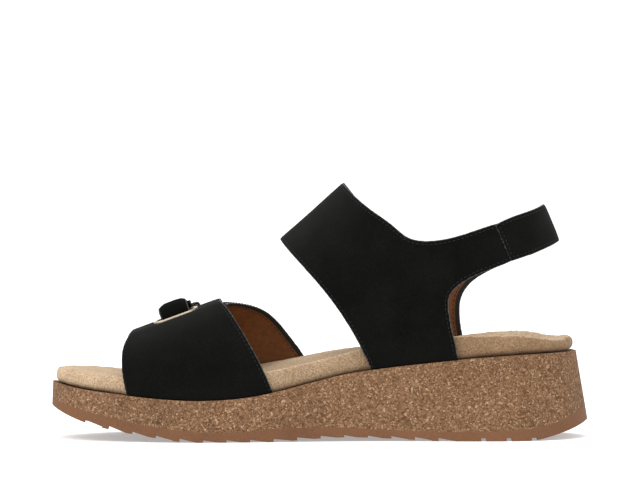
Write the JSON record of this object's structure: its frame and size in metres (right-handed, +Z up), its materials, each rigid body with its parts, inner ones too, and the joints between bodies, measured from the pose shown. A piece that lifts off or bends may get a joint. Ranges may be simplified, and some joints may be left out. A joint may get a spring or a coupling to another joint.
{
  "type": "wedge sandal",
  "caption": "Open-toe comfort wedge sandal for the right foot, with a forefoot band, instep strap and heel strap that peel open, a cork wedge and a cupped footbed",
  "frame": {"origin": "centre of the bounding box in X and Y, on the ground plane under the sole", "axes": "toe at -X, heel at +X, inner side of the right foot at -Y, outer side at +Y, up is +Z"},
  "size_m": [0.258, 0.0969, 0.1225],
  "materials": {
    "outsole_rubber": "matt moulded tan-brown rubber",
    "cork": "cork granule composite, matt",
    "steel": "tempered spring steel, hidden",
    "board": "fibre board, hidden",
    "foam_body": "moulded latex and cork body, hidden",
    "foam_soft": "thin soft foam, hidden",
    "footbed_suede": "sand suede",
    "black_suede": "black suede",
    "lining_leather": "smooth cognac lining leather",
    "frame_metal": "satin champagne",
    "hook_tape": "black hook tape",
    "loop_tape": "black loop tape"
  },
  "bodies": {
    "root": {"outsole": "outsole_rubber", "wedge_midsole": "cork", "shank": "steel", "insole_board": "board", "footbed_core": "foam_body", "footbed_foam": "foam_soft", "footbed_cover": "footbed_suede", "toe_band_medial_outer": "black_suede", "toe_band_medial_lining": "lining_leather", "toe_band_lateral_outer": "black_suede", "toe_band_lateral_lining": "lining_leather", "slot_frame": "frame_metal", "slot_frame_back": "frame_metal", "toe_strap_base": "black_suede", "toe_loop_patch": "loop_tape", "quarter_medial_outer": "black_suede", "quarter_medial_padding": "foam_soft", "quarter_medial_lining": "lining_leather", "quarter_lateral_outer": "black_suede", "quarter_lateral_padding": "foam_soft", "quarter_lateral_lining": "lining_leather", "instep_loop_patch": "loop_tape", "heel_loop_patch": "loop_tape"},
    "toe_flap": {"toe_flap_outer": "black_suede", "toe_flap_lining": "lining_leather", "toe_hook_patch": "hook_tape"},
    "instep_flap": {"instep_flap_outer": "black_suede", "instep_flap_lining": "lining_leather", "instep_hook_patch": "hook_tape"},
    "heel_strap": {"heel_strap_outer": "black_suede", "heel_strap_padding": "foam_soft", "heel_strap_lining": "lining_leather", "heel_hook_patch": "hook_tape"}
  },
  "joints": [
    {"name": "toe_flap_peel", "type": "hinge", "parent": "root", "child": "toe_flap", "pos_m": [-0.07152, -0.00939, 0.06486], "axis": [0.9388, 0, 0.3445], "range_deg": [0, 120]},
    {"name": "instep_flap_peel", "type": "hinge", "parent": "root", "child": "instep_flap", "pos_m": [-0.00611, 0.00296, 0.107], "axis": [0.7449, 0, 0.6672], "range_deg": [0, 100]},
    {"name": "heel_strap_open", "type": "hinge", "parent": "root", "child": "heel_strap", "pos_m": [0.08962, -0.02807, 0.0956], "axis": [0.4013, 0.0989, -0.9106], "range_deg": [0, 70]}
  ]
}
